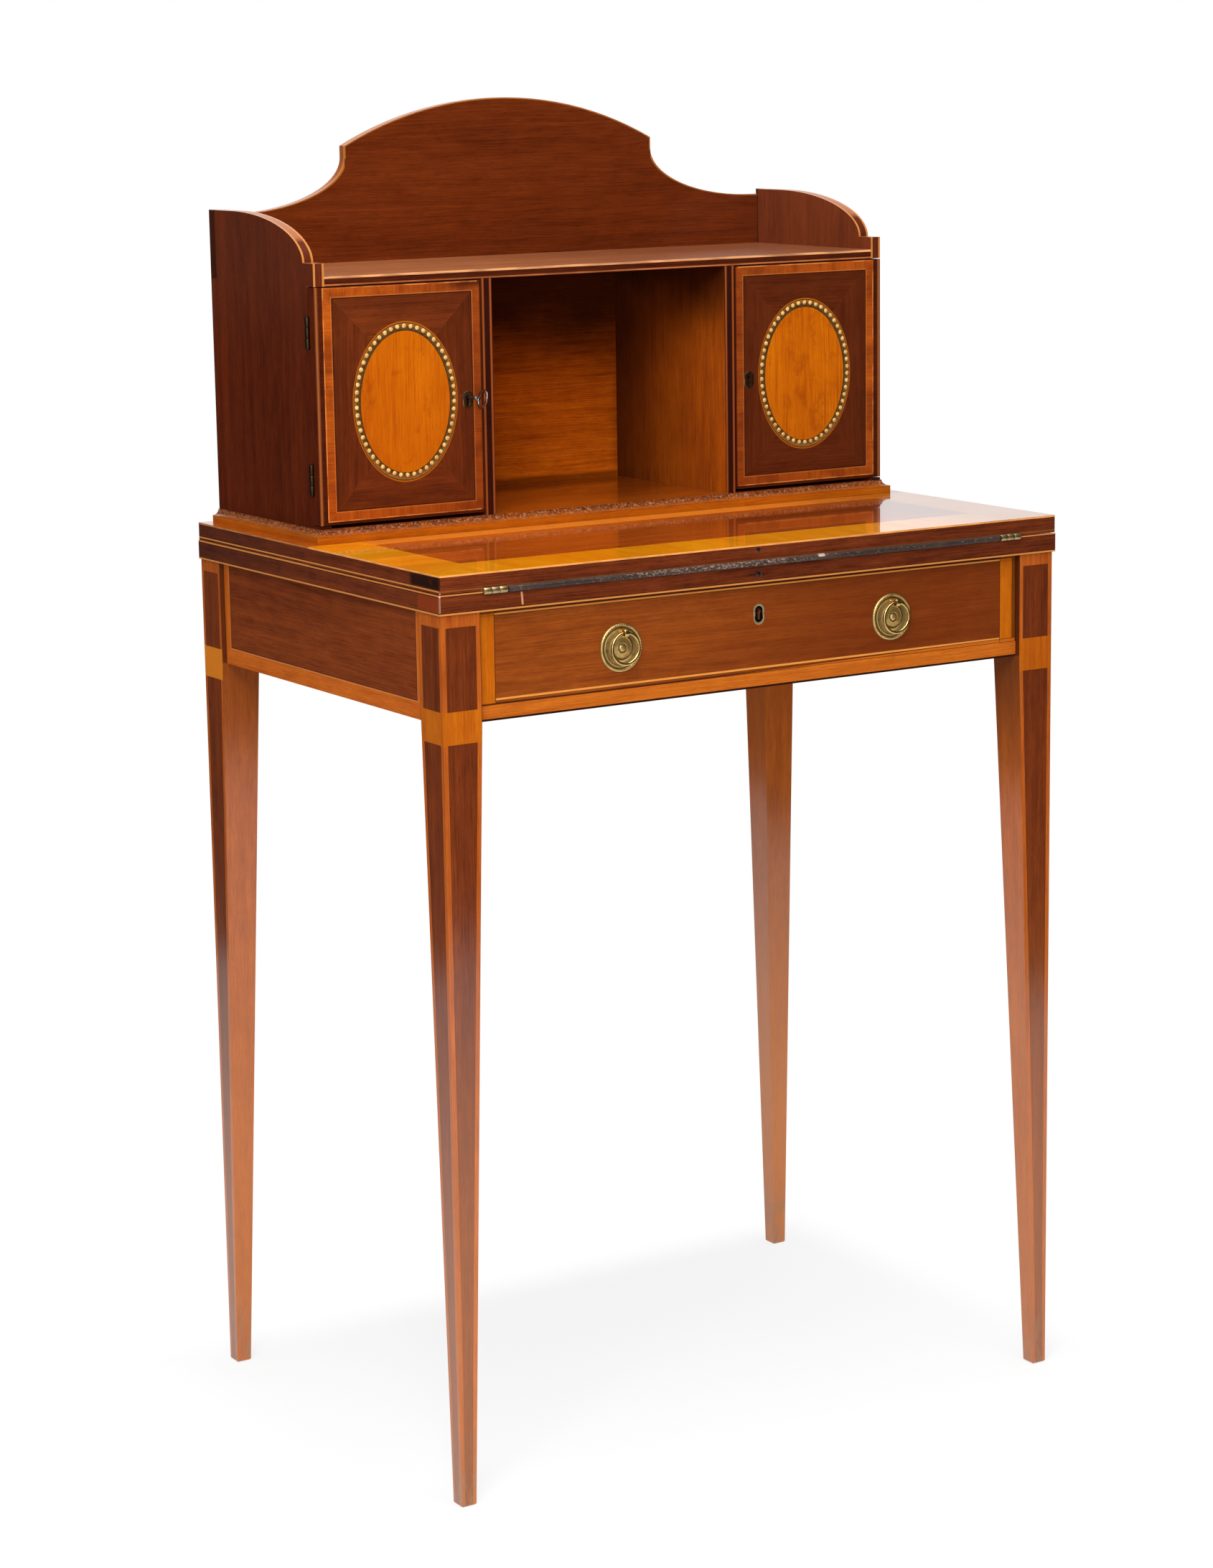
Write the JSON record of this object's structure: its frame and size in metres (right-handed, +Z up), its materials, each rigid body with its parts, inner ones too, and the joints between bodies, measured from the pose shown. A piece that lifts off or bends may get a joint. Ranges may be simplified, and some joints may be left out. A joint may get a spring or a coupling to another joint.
{
  "type": "bonheur du jour writing desk",
  "caption": "Small inlaid writing desk on square tapered legs, with a drawer, a fold-over writing flap and a raised cabinet with two cupboards beside an open compartment.",
  "frame": {"origin": "on the floor, under the middle of the overall bounding box", "axes": "+Z up, +Y from the sitter to the desk's back, +X to the sitter's right"},
  "size_m": [0.604, 0.426, 1.1149],
  "materials": {
    "mahogany": "french polish",
    "satinwood": "french polish",
    "satinwood_pale": "french polish",
    "drawer_mahogany": "french polish",
    "oak": "bare wood",
    "brass": "aged lacquer",
    "steel": "dull",
    "leather": "worn, dark grey-brown"
  },
  "bodies": {
    "desk": {"leg_front_left": "satinwood", "leg_front_right": "satinwood", "leg_back_left": "satinwood", "leg_back_right": "satinwood", "side_frieze_left": "mahogany", "side_frieze_right": "mahogany", "back_rail": "oak", "front_rail": "mahogany", "drawer_runners": "oak", "drawer_kickers": "oak", "drawer_stops": "oak", "glue_blocks": "oak", "fixed_top": "mahogany", "plinth_board": "mahogany", "top_leather": "leather", "leather_fold": "leather", "top_edge_screw": "steel", "flap_hinge_fixed_leaves": "brass", "base_moulding_front": "satinwood", "base_moulding_returns": "satinwood", "case_side_left": "mahogany", "case_side_right": "mahogany", "case_back": "mahogany", "case_floor": "satinwood", "top_shelf": "mahogany", "divider_left": "mahogany", "divider_right": "mahogany", "door_left_hinge_case_leaves": "brass", "door_right_hinge_case_leaves": "brass"},
    "flap": {"writing_flap": "mahogany", "flap_leather": "leather", "flap_hinge_moving_leaves": "brass", "flap_edge_screw": "steel"},
    "door_left": {"door_left": "mahogany", "door_left_oval": "satinwood_pale", "door_left_bead_ring": "satinwood_pale", "door_left_escutcheon": "brass", "door_left_lock": "brass", "door_left_hinge_leaves": "brass"},
    "door_right": {"door_right": "mahogany", "door_right_oval": "satinwood_pale", "door_right_bead_ring": "satinwood_pale", "door_right_escutcheon": "brass", "door_right_lock": "brass", "door_right_hinge_leaves": "brass"},
    "door_left_bolt": {"door_left_bolt": "steel"},
    "door_right_bolt": {"door_right_bolt": "steel"},
    "key": {"door_key": "steel"},
    "drawer": {"drawer_front": "drawer_mahogany", "drawer_side_left": "oak", "drawer_side_right": "oak", "drawer_back": "oak", "drawer_bottom": "oak", "drawer_escutcheon": "brass", "drawer_lock": "brass", "pull_backplates": "brass", "pull_posts": "brass"},
    "drawer_bolt": {"drawer_bolt": "steel"},
    "ring_left": {"pull_ring_left": "brass"},
    "ring_right": {"pull_ring_right": "brass"}
  },
  "joints": [
    {"name": "flap_fold", "type": "hinge", "parent": "desk", "child": "flap", "pos_m": [0, -0.20925, 0.745], "axis": [1, 0, 0], "range_deg": [0, 180], "deforming": ["leather_fold"]},
    {"name": "drawer_slide", "type": "slide", "parent": "desk", "child": "drawer", "axis": [0, -1, 0], "range_m": [0, 0.28]},
    {"name": "door_left_swing", "type": "hinge", "parent": "desk", "child": "door_left", "pos_m": [-0.2852, 0.0296, 0.87145], "axis": [0, 0, -1], "range_deg": [0, 175]},
    {"name": "door_right_swing", "type": "hinge", "parent": "desk", "child": "door_right", "pos_m": [0.2852, 0.0296, 0.87145], "axis": [0, 0, 1], "range_deg": [0, 175]},
    {"name": "key_turn", "type": "hinge", "parent": "door_left", "child": "key", "pos_m": [-0.142, 0.01875, 0.8716], "axis": [0, 1, 0], "range_deg": [0, 180]},
    {"name": "door_left_bolt_throw", "type": "slide", "parent": "door_left", "child": "door_left_bolt", "axis": [1, 0, 0], "range_m": [0, 0.005]},
    {"name": "door_right_bolt_throw", "type": "slide", "parent": "door_right", "child": "door_right_bolt", "axis": [-1, 0, 0], "range_m": [0, 0.005]},
    {"name": "drawer_bolt_throw", "type": "slide", "parent": "drawer", "child": "drawer_bolt", "axis": [0, 0, 1], "range_m": [0, 0.005]},
    {"name": "ring_left_swing", "type": "hinge", "parent": "drawer", "child": "ring_left", "pos_m": [-0.1335, -0.20945, 0.6999], "axis": [-1, 0, 0], "range_deg": [0, 85]},
    {"name": "ring_right_swing", "type": "hinge", "parent": "drawer", "child": "ring_right", "pos_m": [0.1335, -0.20945, 0.6999], "axis": [-1, 0, 0], "range_deg": [0, 85]}
  ],
  "couplings": [
    {"joint": "door_left_bolt_throw", "follows": "key_turn", "m_per_rad": 0.0015914}
  ]
}
